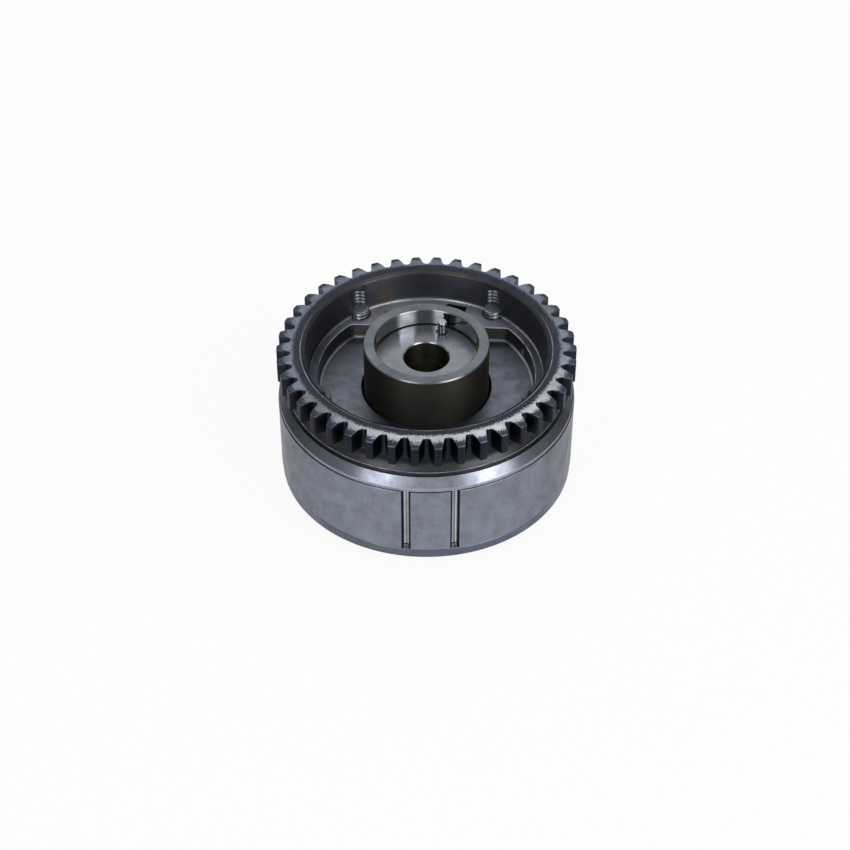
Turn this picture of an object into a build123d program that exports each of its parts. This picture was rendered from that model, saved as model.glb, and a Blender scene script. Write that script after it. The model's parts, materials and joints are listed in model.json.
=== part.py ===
from build123d import *
import os
from math import atan2, cos, degrees, hypot, pi, radians, sin

# Hydraulic cam phaser for a timing chain drive.
# Millimetres, +Z up. The origin is on the turning axis, in the plane that the five bolt heads stand on.
# The camshaft comes in from above; the front cover is below.

os.makedirs("parts", exist_ok=True)

# Timing chain sprocket
chain_pitch = 8.0
tooth_count = 42
tip_over_pitch_radius = 0.27
tooth_depth = 4.6
tooth_face = 9.0
gap_half_width = 0.85
gap_flank_slope = 0.434
gap_corner_radius = 0.7
tooth_tip_rounding = 0.35
tooth_bevel_width = 2.4
tooth_bevel_drop = 0.75

# Bowl of the sprocket plate: a tapered wall, a flat land and a sunk pocket
rim_wall = 5.0
bowl_taper = 1.6
bowl_base_fillet = 1.1
mouth_chamfer_width = 1.2
mouth_chamfer_drop = 0.7
land_depth = 11.1
pocket_depth = 18.35
plate_floor_thickness = 2.85
land_width = 3.4
pocket_corner_radius = 2.5
land_chord_gap = 3.4
boss_radius = 5.9
plate_bore_chamfer = 1.1

# Outside of the sprocket plate below the teeth
neck_step = 0.25
neck_straight_length = 3.35
neck_flare = 1.15
neck_flare_length = 2.45
relief_groove_width = 0.9
relief_groove_depth = 0.55
shoulder_step = 1.1
shoulder_drop = 3.8
band_inset = 0.2

# Cover bolts
bolt_count = 5
bolt_inset = 0.7
first_bolt_angle = 54.0
bolt_radius = 3.0
bolt_thread_clearance = 0.02
bolt_clearance = 0.3
bolt_stand_out = 3.0
bolt_point_length = 0.4
bolt_point_radius = 2.7
tap_run_out = 2.6
flange_radius = 6.2
flange_thickness = 1.0
flange_edge_chamfer = 0.4
hex_across_flats = 8.0
hex_height = 2.2
hex_dimple_radius = 2.6
hex_dimple_depth = 0.6

# Stator ring with its lobes
stator_overhang = 0.1
stator_height = 28.05
stator_wall = 6.9
lobe_width_angle = 26.0
lobe_root_fillet = 1.5
corner_round_margin = 0.3
stator_edge_chamfer = 0.3
timing_groove_radius = 1.65
timing_groove_angles = (262.3, 280.7)

# Front cover
cover_inset = 0.25
cover_thickness = 3.95
cover_edge_chamfer = 0.4

# Rotor with its vanes and camshaft nose
rotor_hub_radius = 29.0
hub_tip_clearance = 0.08
vane_tip_clearance = 0.1
rotor_side_clearance = 0.05
journal_clearance = 0.05
vane_width_angle = 10.0
lock_vane_wall = 1.63
stop_gap_angle = 0.25
hub_root_fillet = 1.2
nose_wall = 4.0
nose_stand_out = 1.8
nose_edge_chamfer = 0.4
cam_pocket_radius = 18.6
cam_pocket_depth = 6.7
cam_pocket_edge_chamfer = 0.3
relief_ring_width = 0.6
relief_ring_depth = 0.3
oil_hole_radius = 8.2
oil_hole_depth = 7.8
oil_hole_chamfer = 0.4
cam_bolt_hole_radius = 6.2
front_boss_wall = 4.0
front_boss_inset = 0.4
bolt_head_recess_radius = 12.0
bolt_head_recess_depth = 2.0
oil_drilling_radius = 1.5
oil_drilling_inset = 7.0
oil_drilling_gap_angle = 3.5

# Camshaft dowel
dowel_radius = 1.75
dowel_inset = 3.5
dowel_angle = 68.0
dowel_stand_out = 5.0
dowel_sunk_length = 5.0
dowel_chamfer = 0.3
dowel_fit = 0.01
dowel_counterbore_radius = 2.35
dowel_counterbore_depth = 0.6
dowel_neck_depth = 0.2

# Sprung seals in the vane tips and in the lobe tips
seal_width = 2.44
seal_side_clearance = 0.03
seal_radial_height = 3.0
seal_contact_clearance = 0.02
seal_slot_depth = 4.0
seal_end_clearance = 0.05
leaf_thickness = 0.25
leaf_width = 2.2
leaf_end_inset = 2.9
leaf_contact_clearance = 0.01

# Lock pin, its bore in the wide vane and its bush in the sprocket plate
lock_inset = 10.0
pin_radius = 4.0
pin_length = 14.0
pin_shoulder_radius = 5.2
pin_shoulder_length = 3.0
pin_fit = 0.03
pin_point_chamfer = 0.5
pin_retracted_gap = 0.1
pin_travel = 3.2
pin_step_gap = 0.1
spring_cup_radius = 2.9
spring_cup_depth = 10.0
spring_wire_radius = 0.4
spring_coil_radius = 2.3
spring_turns = 8
spring_wire_sides = 6
spring_contact_clearance = 0.02
seat_thickness = 2.0
seat_peg_radius = 1.6
seat_peg_height = 1.5
bush_wall = 1.4
bush_fit = 0.15
bush_depth = 5.0
bush_press = 0.01
vent_pocket_radial = 4.5
vent_pocket_tangential = 8.0
vent_pocket_reach = 2.8
vent_pocket_right_angle = 68.0
vent_pocket_depth = 2.5
vent_pocket_corner = 0.8
vent_hole_radius = 1.0

# Locating dowel between the stator and the sprocket plate
locator_radius = 1.5
locator_inset = 2.9
locator_angle = 18.0
locator_length_in_stator = 6.0
locator_length_in_plate = 2.3
locator_fit = 0.01
locator_tip_gap = 0.3
locator_chamfer = 0.3

# How far a cut runs past the face that it opens, and a joined form into what it joins
overrun = 1.0

# Heights of the stack, from the plane of the bolt heads upwards
head_height = flange_thickness + hex_height
cover_top = head_height + cover_thickness
joint_height = cover_top + stator_height
pocket_floor = joint_height + plate_floor_thickness
plate_top = pocket_floor + pocket_depth
land_height = plate_top - land_depth
tooth_base = plate_top - tooth_face
neck_base = tooth_base - neck_straight_length - neck_flare_length
shoulder_top = neck_base - shoulder_step
relief_groove_floor = shoulder_top - relief_groove_depth
nose_top = plate_top + nose_stand_out
cam_floor = nose_top - cam_pocket_depth
oil_hole_floor = cam_floor - oil_hole_depth
rotor_top = joint_height - rotor_side_clearance
rotor_bottom = cover_top + rotor_side_clearance
rotor_front = head_height + front_boss_inset

# Radii and angles that follow from the sizes above
pitch_radius = chain_pitch / (2 * sin(pi / tooth_count))
tip_radius = pitch_radius + tip_over_pitch_radius
root_radius = tip_radius - tooth_depth
neck_top_radius = root_radius + neck_step
neck_base_radius = neck_top_radius + neck_flare
shoulder_inner_radius = neck_base_radius + relief_groove_width
bowl_mouth_radius = root_radius - rim_wall
bowl_base_radius = bowl_mouth_radius - bowl_taper
pocket_radius = bowl_base_radius - land_width
bolt_circle_radius = bowl_base_radius - bolt_inset
stator_radius = tip_radius + stator_overhang
band_radius = stator_radius - band_inset
cover_radius = stator_radius - cover_inset
chamber_radius = stator_radius - stator_wall
locator_circle_radius = chamber_radius + locator_inset
nose_radius = cam_pocket_radius + nose_wall
dowel_circle_radius = cam_pocket_radius - dowel_inset
plate_bore_radius = nose_radius + journal_clearance
land_chord_distance = nose_radius + land_chord_gap
front_boss_radius = bolt_head_recess_radius + front_boss_wall
lobe_tip_radius = rotor_hub_radius + hub_tip_clearance
vane_radius = chamber_radius - vane_tip_clearance
lobe_pitch_angle = 360 / bolt_count
bolt_angles = [first_bolt_angle + k * lobe_pitch_angle for k in range(bolt_count)]
lock_circle_radius = chamber_radius - lock_inset
vent_pocket_outer_radius = lock_circle_radius + vent_pocket_reach
pin_bore_radius = pin_radius + pin_fit
shoulder_bore_radius = pin_shoulder_radius + pin_fit
lock_vane_width_angle = 2 * degrees(atan2(shoulder_bore_radius + lock_vane_wall, lock_circle_radius))
free_angle = lobe_pitch_angle - lobe_width_angle - lock_vane_width_angle
rotor_travel_angle = free_angle - 2 * stop_gap_angle
lock_angle = first_bolt_angle + (lobe_width_angle + lock_vane_width_angle) / 2 + stop_gap_angle
vane_angles = [lock_angle + k * lobe_pitch_angle for k in range(bolt_count)]
seal_slot_width = seal_width + 2 * seal_side_clearance
pin_tip = rotor_top - pin_retracted_gap
pin_base = pin_tip - pin_length
leaf_length = rotor_top - rotor_bottom - 2 * leaf_end_inset
bore_step_height = pin_base + pin_shoulder_length + pin_travel + pin_step_gap
seat_top = rotor_bottom + seat_thickness
bush_bore_radius = pin_radius + bush_fit
bush_radius = bush_bore_radius + bush_wall


def turned(points):
    """A solid turned about Z from a closed profile of (radius, height) points."""
    return revolve(make_face(Plane.XZ * Polyline(*points, close=True)), Axis.Z)


def rod(radius, bottom, top):
    """A round bar on the turning axis."""
    return Pos(0, 0, bottom) * extrude(Circle(radius), top - bottom)


def at(radius, angle, shape):
    """The shape carried out along X by the radius, then turned about Z by the angle."""
    return Rot(0, 0, angle) * Pos(radius, 0, 0) * shape


def sector(inner_radius, outer_radius, width_angle, centre_angle):
    """A flat ring sector between two radii."""
    reach = 2 * outer_radius
    half = radians(width_angle / 2)
    wedge = Polygon((0, 0), (reach * cos(half), -reach * sin(half)), (reach, 0),
                    (reach * cos(half), reach * sin(half)), align=None)
    ring = Circle(outer_radius) - Circle(inner_radius)
    return Rot(0, 0, centre_angle) * (ring & wedge)


def slot_outline(from_radius, to_radius, width, angle):
    """A straight-sided flat strip along a radius."""
    length = to_radius - from_radius
    return at(from_radius + length / 2, angle, Rectangle(length, width))


def by_radius(vertices, radius):
    """The vertices that lie at the given distance from the turning axis."""
    return [v for v in vertices if abs(hypot(v.X, v.Y) - radius) < 1e-3]


def tooth_gap():
    """The space between two teeth, its root on the X axis, open beyond the tips."""
    mouth_radius = tip_radius + overrun
    mouth_half_width = gap_half_width + gap_flank_slope * (mouth_radius - root_radius)
    outline = Polygon((root_radius, -gap_half_width), (mouth_radius, -mouth_half_width),
                      (mouth_radius, mouth_half_width), (root_radius, gap_half_width), align=None)
    return fillet(outline.vertices().sort_by(Axis.X)[:2], gap_corner_radius)


def tooth_outline():
    """The sprocket's outline, one tooth gap facing -Y."""
    gap = tooth_gap()
    gaps = [Rot(0, 0, 270 + k * 360 / tooth_count) * gap for k in range(tooth_count)]
    outline = Circle(tip_radius) - gaps
    return fillet(by_radius(outline.vertices(), tip_radius), tooth_tip_rounding)


def pocket_outline():
    """The sunk pocket round the hub, with the land's straight edge and three bolt bosses left standing."""
    reach = 2 * pocket_radius
    outline = Circle(pocket_radius)
    outline -= Pos(0, land_chord_distance + reach / 2) * Rectangle(2 * reach, reach)
    outline -= [at(bolt_circle_radius, angle, Circle(boss_radius)) for angle in bolt_angles[2:]]
    return fillet(by_radius(outline.vertices(), pocket_radius), pocket_corner_radius)


def sprocket_plate():
    """The toothed ring and the rear plate of the phaser, one sintered piece."""
    blank_radius = tip_radius + overrun
    profile = make_face(Plane.XZ * Polyline(
        (plate_bore_radius, joint_height),
        (plate_bore_radius, pocket_floor - plate_bore_chamfer),
        (plate_bore_radius + plate_bore_chamfer, pocket_floor),
        (plate_bore_radius + plate_bore_chamfer, land_height),
        (bowl_base_radius, land_height),
        (bowl_mouth_radius, plate_top - mouth_chamfer_drop),
        (bowl_mouth_radius + mouth_chamfer_width, plate_top),
        (blank_radius, plate_top),
        (blank_radius, tooth_base),
        (neck_top_radius, tooth_base),
        (neck_top_radius, tooth_base - neck_straight_length),
        (neck_base_radius, neck_base),
        (neck_base_radius, relief_groove_floor),
        (shoulder_inner_radius, relief_groove_floor),
        (shoulder_inner_radius, shoulder_top),
        (band_radius, shoulder_top - shoulder_drop),
        (band_radius, joint_height + stator_edge_chamfer),
        (band_radius - stator_edge_chamfer, joint_height),
        close=True))
    bowl_corner = profile.vertices().sort_by_distance((bowl_base_radius, 0, land_height))[0]
    plate = revolve(fillet(bowl_corner, bowl_base_fillet), Axis.Z)

    trimming = Circle(blank_radius + overrun) - tooth_outline()
    plate -= Pos(0, 0, tooth_base) * extrude(trimming, tooth_face + overrun)
    plate -= turned([
        (tip_radius - tooth_bevel_width, plate_top),
        (tip_radius + overrun, plate_top - tooth_bevel_drop * (1 + overrun / tooth_bevel_width)),
        (tip_radius + overrun, plate_top + overrun),
        (tip_radius - tooth_bevel_width, plate_top + overrun),
    ])
    plate -= Pos(0, 0, pocket_floor) * extrude(pocket_outline(), land_height - pocket_floor + overrun)

    tap_radius = bolt_radius + bolt_thread_clearance
    tap_top = plate_top - tap_run_out
    tap = turned([(0, joint_height - overrun), (tap_radius, joint_height - overrun), (tap_radius, tap_top - tap_radius / 2),
                  (0, tap_top)])
    plate -= [at(bolt_circle_radius, angle, tap) for angle in bolt_angles]

    plate -= at(lock_circle_radius, lock_angle, rod(bush_radius, joint_height - overrun, joint_height + bush_depth))
    half_span = degrees(atan2(vent_pocket_tangential / 2, vent_pocket_outer_radius))
    vent = fillet(Rectangle(vent_pocket_radial, vent_pocket_tangential).vertices(), vent_pocket_corner)
    vent_floor = land_height - vent_pocket_depth
    vent_cut = Pos(0, 0, vent_floor) * extrude(vent, vent_pocket_depth + overrun)
    plate -= at(vent_pocket_outer_radius - vent_pocket_radial / 2, vent_pocket_right_angle + half_span, vent_cut)
    plate -= at(lock_circle_radius, lock_angle, rod(vent_hole_radius, joint_height, vent_floor + overrun))

    locator_top = joint_height + locator_length_in_plate + locator_tip_gap
    plate -= at(locator_circle_radius, locator_angle,
                rod(locator_radius + locator_fit, joint_height - overrun, locator_top))
    return plate


def stator_housing():
    """The ring with five inward lobes that the chambers lie between."""
    outline = Circle(stator_radius) - Circle(chamber_radius)
    for angle in bolt_angles:
        outline += sector(lobe_tip_radius, chamber_radius + overrun, lobe_width_angle, angle)
    outline = fillet(by_radius(outline.vertices(), chamber_radius), lobe_root_fillet)
    outline = fillet(by_radius(outline.vertices(), lobe_tip_radius), hub_root_fillet + corner_round_margin)
    for angle in bolt_angles:
        slot_floor = lobe_tip_radius + seal_slot_depth
        outline -= slot_outline(lobe_tip_radius - overrun, slot_floor, seal_slot_width, angle)
        outline -= at(bolt_circle_radius, angle, Circle(bolt_radius + bolt_clearance))
    outline -= [at(stator_radius, angle, Circle(timing_groove_radius)) for angle in timing_groove_angles]
    ring = Pos(0, 0, cover_top) * extrude(outline, stator_height)
    edge = stator_edge_chamfer
    for end, inward in ((cover_top, 1), (joint_height, -1)):
        ring -= turned([(stator_radius - edge, end), (stator_radius + overrun, end + inward * (edge + overrun)),
                        (stator_radius + overrun, end - inward), (stator_radius - edge, end - inward)])
    hole_floor = joint_height - locator_length_in_stator - locator_tip_gap
    ring -= at(locator_circle_radius, locator_angle,
               rod(locator_radius + locator_fit, hole_floor, joint_height + overrun))
    return ring


def front_cover():
    """The flat plate that closes the chambers below."""
    bore_radius = front_boss_radius + journal_clearance
    edge = stator_edge_chamfer
    cover = turned([
        (bore_radius, head_height), (cover_radius - cover_edge_chamfer, head_height),
        (cover_radius, head_height + cover_edge_chamfer), (cover_radius, cover_top - edge),
        (cover_radius - edge, cover_top), (bore_radius, cover_top),
    ])
    hole = rod(bolt_radius + bolt_clearance, head_height - overrun, cover_top + overrun)
    return cover - [at(bolt_circle_radius, angle, hole) for angle in bolt_angles]


def cover_bolt():
    """A hexagon flange bolt, head down, its point standing above the land."""
    shank_top = land_height + bolt_stand_out
    bolt = turned([
        (0, hex_height), (flange_radius - flange_edge_chamfer, hex_height),
        (flange_radius, hex_height + flange_edge_chamfer),
        (flange_radius, head_height), (bolt_radius, head_height), (bolt_radius, shank_top - bolt_point_length),
        (bolt_point_radius, shank_top), (0, shank_top),
    ])
    head = extrude(RegularPolygon(hex_across_flats / 2, 6, major_radius=False), hex_height)
    crown = turned([(0, 0), (hex_across_flats / 2, 0), (hex_across_flats, hex_across_flats / 4),
                    (hex_across_flats, hex_height), (0, hex_height)])
    return bolt + (head & crown) - rod(hex_dimple_radius, 0, hex_dimple_depth)


def rotor():
    """The vaned rotor with its long nose for the camshaft."""
    outline = Circle(rotor_hub_radius)
    widths = [lock_vane_width_angle] + [vane_width_angle] * (bolt_count - 1)
    for angle, width in zip(vane_angles, widths):
        outline += sector(rotor_hub_radius - overrun, vane_radius, width, angle)
    outline = fillet(by_radius(outline.vertices(), rotor_hub_radius), hub_root_fillet)
    outline = fillet(by_radius(outline.vertices(), vane_radius), lobe_root_fillet + corner_round_margin)
    for angle in vane_angles:
        outline -= slot_outline(vane_radius - seal_slot_depth, vane_radius + overrun, seal_slot_width, angle)
    body = Pos(0, 0, rotor_bottom) * extrude(outline, rotor_top - rotor_bottom)

    edge = nose_edge_chamfer
    body += turned([(0, rotor_top - overrun), (nose_radius, rotor_top - overrun), (nose_radius, nose_top - edge),
                    (nose_radius - edge, nose_top), (0, nose_top)])
    body += rod(front_boss_radius, rotor_front, rotor_bottom + overrun)

    mouth = cam_pocket_edge_chamfer
    body -= turned([
        (0, nose_top + overrun), (cam_pocket_radius + mouth + overrun, nose_top + overrun),
        (cam_pocket_radius, nose_top - mouth), (cam_pocket_radius, cam_floor - relief_ring_depth),
        (cam_pocket_radius - relief_ring_width, cam_floor - relief_ring_depth),
        (cam_pocket_radius - relief_ring_width, cam_floor),
        (oil_hole_radius + oil_hole_chamfer, cam_floor), (oil_hole_radius, cam_floor - oil_hole_chamfer),
        (oil_hole_radius, oil_hole_floor), (cam_bolt_hole_radius, oil_hole_floor),
        (cam_bolt_hole_radius, rotor_front + bolt_head_recess_depth),
        (bolt_head_recess_radius, rotor_front + bolt_head_recess_depth),
        (bolt_head_recess_radius, rotor_front - overrun), (0, rotor_front - overrun),
    ])

    dowel_hole = rod(dowel_radius + dowel_fit, cam_floor - dowel_sunk_length, cam_floor + overrun)
    counterbore = rod(dowel_counterbore_radius, cam_floor - dowel_counterbore_depth, cam_floor + overrun)
    body -= at(dowel_circle_radius, dowel_angle, dowel_hole + counterbore)

    pin_bore = rod(pin_bore_radius, bore_step_height - overrun, rotor_top + overrun)
    shoulder_bore = rod(shoulder_bore_radius, rotor_bottom - overrun, bore_step_height)
    body -= at(lock_circle_radius, lock_angle, pin_bore + shoulder_bore)

    drilling = Rot(0, 90, 0) * extrude(Circle(oil_drilling_radius), rotor_hub_radius + overrun)
    for angle, width in zip(vane_angles, widths):
        beside_vane = width / 2 + oil_drilling_gap_angle
        body -= Pos(0, 0, cover_top + oil_drilling_inset) * at(0, angle - beside_vane, drilling)
        body -= Pos(0, 0, joint_height - oil_drilling_inset) * at(0, angle + beside_vane, drilling)
    return body


def seal(inner_radius, outer_radius):
    """A seal blade on the X axis, its radial ends curved with the wall that it runs on."""
    strip = slot_outline(inner_radius - overrun, outer_radius + overrun, seal_width, 0)
    outline = strip & (Circle(outer_radius) - Circle(inner_radius))
    bottom = rotor_bottom + seal_end_clearance
    return Pos(0, 0, bottom) * extrude(outline, rotor_top - seal_end_clearance - bottom)


def leaf_spring(floor_radius, seal_radius):
    """A bowed leaf between a slot's floor and the back of a seal, bowed towards the seal."""
    gap = abs(seal_radius - floor_radius) - 2 * leaf_contact_clearance
    rise = gap - leaf_thickness
    half = leaf_length / 2
    mid_height = (rotor_bottom + rotor_top) / 2
    way = 1 if seal_radius > floor_radius else -1
    base = floor_radius + way * leaf_contact_clearance
    under = ThreePointArc((base, mid_height - half), (base + way * rise, mid_height), (base, mid_height + half))
    lift = way * leaf_thickness
    over = ThreePointArc((base + lift, mid_height + half), (base + lift + way * rise, mid_height),
                         (base + lift, mid_height - half))
    ends = [Line(under @ 1, over @ 0), Line(over @ 1, under @ 0)]
    face = Plane.XZ * make_face([under, ends[0], over, ends[1]])
    return Pos(0, leaf_width / 2, 0) * extrude(face, leaf_width)


def lock_pin():
    """The stepped pin with a cup for its spring, held back in the rotor."""
    pin = turned([
        (spring_cup_radius, pin_base), (pin_shoulder_radius, pin_base),
        (pin_shoulder_radius, pin_base + pin_shoulder_length), (pin_radius, pin_base + pin_shoulder_length),
        (pin_radius, pin_tip - pin_point_chamfer), (pin_radius - pin_point_chamfer, pin_tip),
        (0, pin_tip), (0, pin_base + spring_cup_depth), (spring_cup_radius, pin_base + spring_cup_depth),
    ])
    return pin


def lock_spring():
    """The coil spring from the seat up into the pin's cup."""
    low = seat_top + spring_wire_radius + spring_contact_clearance
    high = pin_base + spring_cup_depth - spring_wire_radius - spring_contact_clearance
    height = high - low
    path = Helix(pitch=height / spring_turns, height=height, radius=spring_coil_radius)
    section = Plane(origin=path @ 0, z_dir=path % 0) * RegularPolygon(spring_wire_radius, spring_wire_sides)
    return Pos(0, 0, low) * sweep(section, path=path, is_frenet=True)


def lock_spring_seat():
    """The plug under the lock spring, with a peg inside the coil."""
    radius = shoulder_bore_radius - bush_press
    return rod(radius, rotor_bottom, seat_top) + rod(seat_peg_radius, seat_top - overrun, seat_top + seat_peg_height)


def lock_bush():
    """The hardened ring that takes the lock pin, pressed into the sprocket plate."""
    top = joint_height + bush_depth
    return turned([(bush_bore_radius, joint_height), (bush_radius - bush_press, joint_height),
                   (bush_radius - bush_press, top), (bush_bore_radius, top)])


def chamfered_pin(radius, bottom, top, chamfer_size):
    """A ground dowel with both ends chamfered."""
    return turned([(0, bottom), (radius - chamfer_size, bottom), (radius, bottom + chamfer_size),
                   (radius, top - chamfer_size), (radius - chamfer_size, top), (0, top)])


def cam_dowel():
    """The camshaft's dowel, its pressed half and its free half parted by a shallow neck in the counterbore."""
    pin = chamfered_pin(dowel_radius, cam_floor - dowel_sunk_length, cam_floor + dowel_stand_out, dowel_chamfer)
    neck = Circle(dowel_radius + overrun) - Circle(dowel_radius - dowel_neck_depth)
    return pin - Pos(0, 0, cam_floor - dowel_counterbore_depth) * extrude(neck, dowel_counterbore_depth)


def save(name, shape):
    """Writes one piece under its node name."""
    export_step(shape, f"parts/{name}.step")


save("sprocket_plate", sprocket_plate())
save("stator_housing", stator_housing())
save("front_cover", front_cover())
save("rotor", rotor())

bolt = cover_bolt()
vane_seal_outer = chamber_radius - seal_contact_clearance
vane_seal_inner = vane_seal_outer - seal_radial_height
vane_seal = seal(vane_seal_inner, vane_seal_outer)
vane_leaf = leaf_spring(vane_radius - seal_slot_depth, vane_seal_inner)
lobe_seal_inner = rotor_hub_radius + seal_contact_clearance
lobe_seal_outer = lobe_seal_inner + seal_radial_height
lobe_seal = seal(lobe_seal_inner, lobe_seal_outer)
lobe_leaf = leaf_spring(lobe_tip_radius + seal_slot_depth, lobe_seal_outer)
for number, (bolt_angle, vane_angle) in enumerate(zip(bolt_angles, vane_angles), start=1):
    save(f"cover_bolt_{number}", at(bolt_circle_radius, bolt_angle, bolt))
    save(f"vane_seal_{number}", at(0, vane_angle, vane_seal))
    save(f"vane_seal_spring_{number}", at(0, vane_angle, vane_leaf))
    save(f"lobe_seal_{number}", at(0, bolt_angle, lobe_seal))
    save(f"lobe_seal_spring_{number}", at(0, bolt_angle, lobe_leaf))

save("lock_pin", at(lock_circle_radius, lock_angle, lock_pin()))
save("lock_spring", at(lock_circle_radius, lock_angle, lock_spring()))
save("lock_spring_seat", at(lock_circle_radius, lock_angle, lock_spring_seat()))
save("lock_bush", at(lock_circle_radius, lock_angle, lock_bush()))
save("cam_dowel", at(dowel_circle_radius, dowel_angle, cam_dowel()))
locator = chamfered_pin(locator_radius, joint_height - locator_length_in_stator,
                        joint_height + locator_length_in_plate, locator_chamfer)
save("locating_dowel", at(locator_circle_radius, locator_angle, locator))
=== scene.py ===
"""Visual model of a hydraulic cam phaser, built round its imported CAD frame.

Lengths are written in millimetres and built in metres. +Z runs along the turning axis towards the camshaft
and -Y points at the camera, through a tooth gap.
"""
from __future__ import annotations

import json
import logging
from collections.abc import Callable
from dataclasses import dataclass, field
from enum import Enum
from functools import partial
from math import atan2, cos, hypot, pi, radians, sin, sqrt, tau

import bmesh
import bpy
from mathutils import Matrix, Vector

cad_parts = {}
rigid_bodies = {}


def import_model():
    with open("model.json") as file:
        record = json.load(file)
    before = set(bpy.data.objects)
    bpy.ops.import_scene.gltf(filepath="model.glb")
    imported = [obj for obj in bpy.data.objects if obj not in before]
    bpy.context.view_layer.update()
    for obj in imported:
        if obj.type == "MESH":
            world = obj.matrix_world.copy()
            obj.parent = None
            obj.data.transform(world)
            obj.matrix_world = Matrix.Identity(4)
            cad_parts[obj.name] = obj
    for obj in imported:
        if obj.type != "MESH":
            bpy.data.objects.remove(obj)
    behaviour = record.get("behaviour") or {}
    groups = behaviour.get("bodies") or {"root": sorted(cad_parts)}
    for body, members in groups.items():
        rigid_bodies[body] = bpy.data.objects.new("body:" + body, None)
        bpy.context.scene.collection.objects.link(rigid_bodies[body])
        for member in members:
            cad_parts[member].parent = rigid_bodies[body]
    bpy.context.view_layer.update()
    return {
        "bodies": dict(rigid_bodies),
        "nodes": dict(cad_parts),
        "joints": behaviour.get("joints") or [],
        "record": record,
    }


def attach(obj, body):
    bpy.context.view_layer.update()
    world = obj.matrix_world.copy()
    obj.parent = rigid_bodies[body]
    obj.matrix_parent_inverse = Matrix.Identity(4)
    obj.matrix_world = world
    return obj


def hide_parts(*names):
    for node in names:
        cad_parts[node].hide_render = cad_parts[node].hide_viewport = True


log = logging.getLogger("cam_phaser")

MM = 0.001
# Mesh attribute for brighter rounded edges: real wear, and painted highlights where it follows the lit side
WEAR_AND_GLINT = "wear_and_glint"
WELD_MM = 0.002
SHARP_ANGLE = radians(32)
BOLT_COUNT = 5
FIRST_BOLT_ANGLE = radians(54)

# Sockets of the Mix node when it mixes colours
MIX_FACTOR, MIX_A, MIX_B, MIX_RESULT = 0, 6, 7, 2

# Levels of the noises between which patches, pores, tool marks, and the bright edges of wear and painted
# highlights grow from nothing to full
PATCH_LEVELS = (0.38, 0.66)
PORE_LEVELS = (0.56, 0.74)
MARK_LEVELS = (0.25, 0.75)
WEAR_AND_GLINT_LEVELS = (0.3, 0.6)
GLOSS_LEVELS = (0.3, 0.7)
GLOSS_SHIFT = 0.05
PORE_COLOUR = "#1a1a1c"
WEAR_AND_GLINT_ROUGHNESS = 0.32

# Share of the patches' and pores' noise that moves a ragged edge, and how far it moves in millimetres
RAGGED_MIX = 0.6
RAGGED_REACH = 8.0

# Cosines of the angle from a zone's side at which it starts to show and shows in full
SIDE_LEVELS = (0.3, 0.95)

# Share of a side that one rounding may take, with the next corner rounded too and with it sharp
SHARED_SIDE, WHOLE_SIDE = 0.45, 0.9

Socket = bpy.types.NodeSocket
Tree = bpy.types.NodeTree
Object = bpy.types.Object
Material = bpy.types.Material
Pair = tuple[float, float]
SectionPoint = tuple[float, float, float]
Column = tuple[float, list[SectionPoint]]


def linear_colour(hex_colour: str) -> tuple[float, float, float, float]:
    """Turns an sRGB hex colour, with its hash sign, into the linear colour that the shader takes."""
    parts = [int(hex_colour[k:k + 2], 16) / 255 for k in (1, 3, 5)]
    red, green, blue = (p / 12.92 if p <= 0.04045 else ((p + 0.055) / 1.055) ** 2.4 for p in parts)
    return red, green, blue, 1.0


def add_node(tree: Tree, kind: str, inputs: dict | None = None, **settings) -> bpy.types.Node:
    """Adds a node, sets its properties, and fills or links its inputs.

    Args:
        tree: The tree that the node goes into.
        kind: Blender's name for the type of node.
        inputs: Input name or number to a value, or to the output socket that feeds it.
        **settings: Properties of the node itself.

    Returns:
        The new node.
    """
    node = tree.nodes.new(kind)
    for name, value in settings.items():
        setattr(node, name, value)
    for key, value in (inputs or {}).items():
        if isinstance(value, Socket):
            tree.links.new(value, node.inputs[key])
        else:
            node.inputs[key].default_value = value
    return node


def empty_tree(owner: Material | bpy.types.World) -> Tree:
    """Switches on the nodes of a material or a world and hands back their tree, cleared."""
    owner.use_nodes = True
    owner.node_tree.nodes.clear()
    return owner.node_tree


def band_mask(tree: Tree, value: Socket, limits: Pair, soft: float) -> Socket:
    """Builds a mask that is one where a measure lies between two limits, with soft edges, in millimetres."""
    low, high = limits
    middle, half = (low + high) / 2, (high - low) / 2
    offset = add_node(tree, "ShaderNodeMath", {0: value, 1: middle}, operation="SUBTRACT")
    distance = add_node(tree, "ShaderNodeMath", {0: offset.outputs[0]}, operation="ABSOLUTE")
    edge = add_node(tree, "ShaderNodeMapRange", {
        "Value": distance.outputs[0], "From Min": half + soft, "From Max": half - soft,
    }, interpolation_type="SMOOTHSTEP")
    return edge.outputs["Result"]


class Grain(Enum):
    """Which way the marks of making run over a surface."""

    PLAIN = "plain"
    DRAWN = "drawn"
    TURNED = "turned"


@dataclass(frozen=True)
class Zone:
    """Part of a turned piece, between two radii and two heights, that has a finish of its own.

    A zone with a side, an angle in degrees, shows mostly there and paints the light or shade on that side.
    Some zones without a side paint light or shade too, rather than a finish.
    """

    radii: Pair
    heights: Pair
    colour: str
    roughness: float
    cover: float = 1.0
    soft: float = 0.08
    ragged: float = 0.0
    side: float | None = None


@dataclass(frozen=True)
class StainAndGlint:
    """A small tinted spot on a surface: a real stain, a painted glint, a painted reflection."""

    place: tuple[float, float, float]
    size: float
    colour: str
    cover: float = 0.8


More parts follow.
